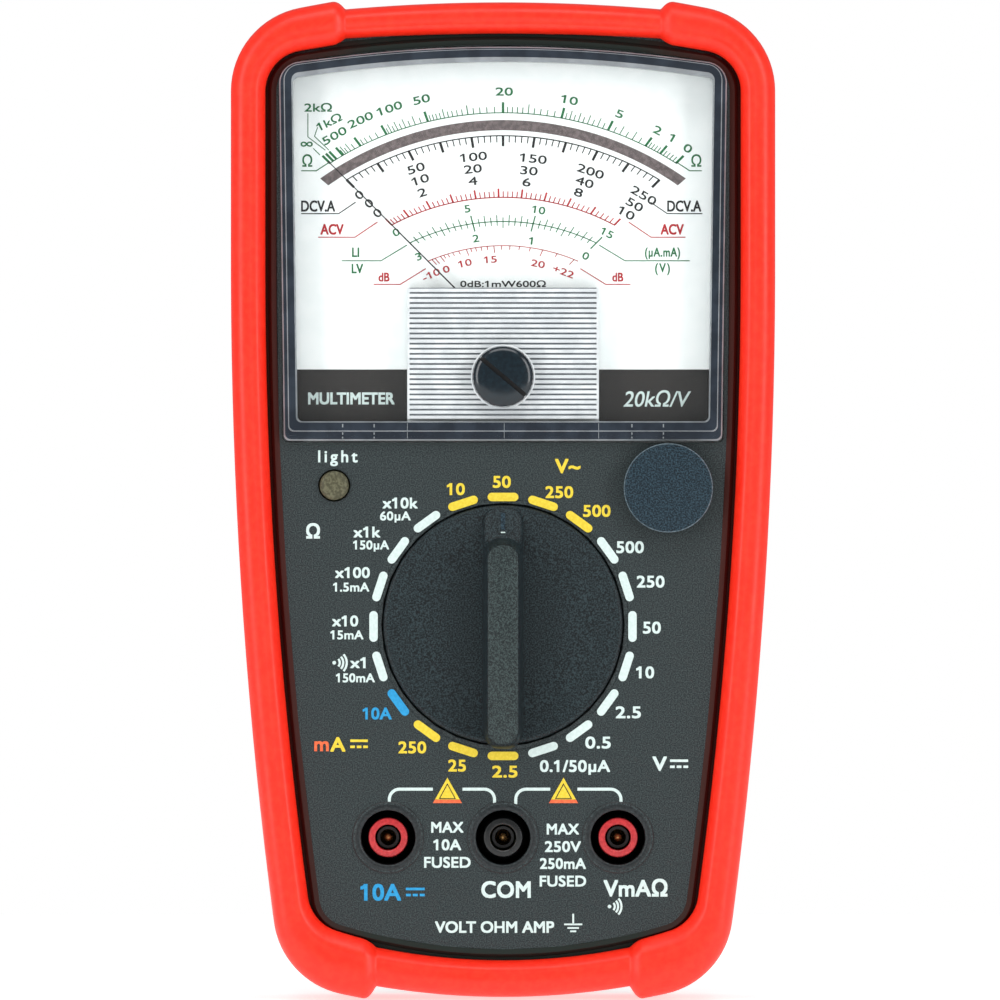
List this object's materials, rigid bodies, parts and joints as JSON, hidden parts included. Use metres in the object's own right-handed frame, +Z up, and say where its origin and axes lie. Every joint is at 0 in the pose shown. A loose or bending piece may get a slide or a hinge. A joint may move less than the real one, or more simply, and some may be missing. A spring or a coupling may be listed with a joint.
{
  "type": "analog multimeter",
  "caption": "Handheld analog multimeter with a moving-coil dial, rotary range switch, three test jacks, tilt stand and a rubber holster.",
  "frame": {"origin": "centre of the footprint, at the lowest point of the bottom bumpers", "axes": "+Z up along the meter's height, -Y out of its face, +X to the user's right; the meter stands on its bottom bumpers"},
  "size_m": [0.09, 0.045, 0.165],
  "materials": {
    "rubber_red": "satin",
    "case_plastic": "fine spark-eroded texture",
    "knob_plastic": "satin",
    "blue_grey_plastic": "fine texture",
    "button_plastic": "satin",
    "clear_plastic": "polished",
    "dial_white": "matt print",
    "silver_plastic": "ribbed satin",
    "black_metal": "matt",
    "black_plastic": "semi-gloss",
    "red_plastic": "semi-gloss",
    "brass": "plain",
    "steel": "plated",
    "iron": "machined",
    "copper_wire": "wound",
    "phenolic": "board",
    "glass": "clear",
    "cell_jacket": "printed film, plain"
  },
  "bodies": {
    "case": {"holster": "rubber_red", "front_case": "case_plastic", "rear_case": "case_plastic", "battery_cover": "case_plastic", "battery_cover_screw": "steel", "case_screw_1": "steel", "case_screw_2": "steel", "case_screw_3": "steel", "case_screw_4": "steel", "meter_lens": "clear_plastic", "dial_plate": "dial_white", "movement_carrier": "black_plastic", "movement_cover": "silver_plastic", "yoke_ring": "iron", "core_magnet": "iron", "front_bridge": "brass", "rear_bridge": "brass", "detent_ring": "black_plastic", "ohm_potentiometer": "steel", "light_switch": "black_plastic", "dial_led_left": "clear_plastic", "dial_led_right": "clear_plastic", "jack_insulator_10a": "red_plastic", "jack_insulator_com": "black_plastic", "jack_insulator_vma": "red_plastic", "jack_contact_10a": "brass", "jack_contact_com": "brass", "jack_contact_vma": "brass", "main_board": "phenolic", "board_screw_1": "steel", "board_screw_2": "steel", "fuse_10a": "glass", "fuse_10a_holder": "steel", "fuse_250ma": "glass", "fuse_250ma_holder": "steel", "buzzer": "black_plastic", "aa_cell_left": "cell_jacket", "aa_cell_right": "cell_jacket", "battery_terminal_left": "steel", "battery_terminal_right": "steel", "battery_link": "steel", "nine_volt_battery": "cell_jacket", "battery_snap": "black_plastic", "stand_pin": "steel"},
    "pointer": {"needle": "black_metal", "moving_coil": "copper_wire", "front_hairspring": "brass", "rear_hairspring": "brass"},
    "zero_screw": {"zero_screw": "black_plastic"},
    "zero_lever": {"zero_lever": "brass"},
    "range_selector": {"range_knob": "knob_plastic", "switch_rotor": "black_plastic", "wiper_contact": "copper_wire", "detent_spring": "steel"},
    "ohm_adjuster": {"ohm_adjust_knob": "blue_grey_plastic"},
    "light_button": {"light_button": "button_plastic", "switch_plunger": "black_plastic"},
    "tilt_stand": {"tilt_stand": "case_plastic"}
  },
  "joints": [
    {"name": "needle_swing", "type": "hinge", "parent": "case", "child": "pointer", "pos_m": [0, -0.0134, 0.1096], "axis": [0, 1, 0], "range_deg": [0, 90]},
    {"name": "zero_screw_turn", "type": "hinge", "parent": "case", "child": "zero_screw", "pos_m": [0, -0.017, 0.1029], "axis": [0, 1, 0], "range_deg": [-40, 40]},
    {"name": "zero_lever_swing", "type": "hinge", "parent": "case", "child": "zero_lever", "pos_m": [0, -0.0128, 0.1096], "axis": [0, 1, 0], "range_deg": [-8, 8]},
    {"name": "range_knob_turn", "type": "hinge", "parent": "case", "child": "range_selector", "pos_m": [0, -0.015, 0.0619], "axis": [0, 1, 0], "continuous": true},
    {"name": "ohm_adjust_turn", "type": "hinge", "parent": "case", "child": "ohm_adjuster", "pos_m": [0.0273, -0.017, 0.0845], "axis": [0, 1, 0], "range_deg": [-140, 140]},
    {"name": "light_button_press", "type": "slide", "parent": "case", "child": "light_button", "axis": [0, 1, 0], "range_m": [0, 0.0007], "stiffness_N_per_m": 1500, "springref_m": -0.0004},
    {"name": "tilt_stand_swing", "type": "hinge", "parent": "case", "child": "tilt_stand", "pos_m": [0, 0.02, 0.128], "axis": [1, 0, 0], "range_deg": [0, 60]}
  ],
  "couplings": [
    {"joint": "zero_lever_swing", "follows": "zero_screw_turn", "ratio": 0.152}
  ]
}
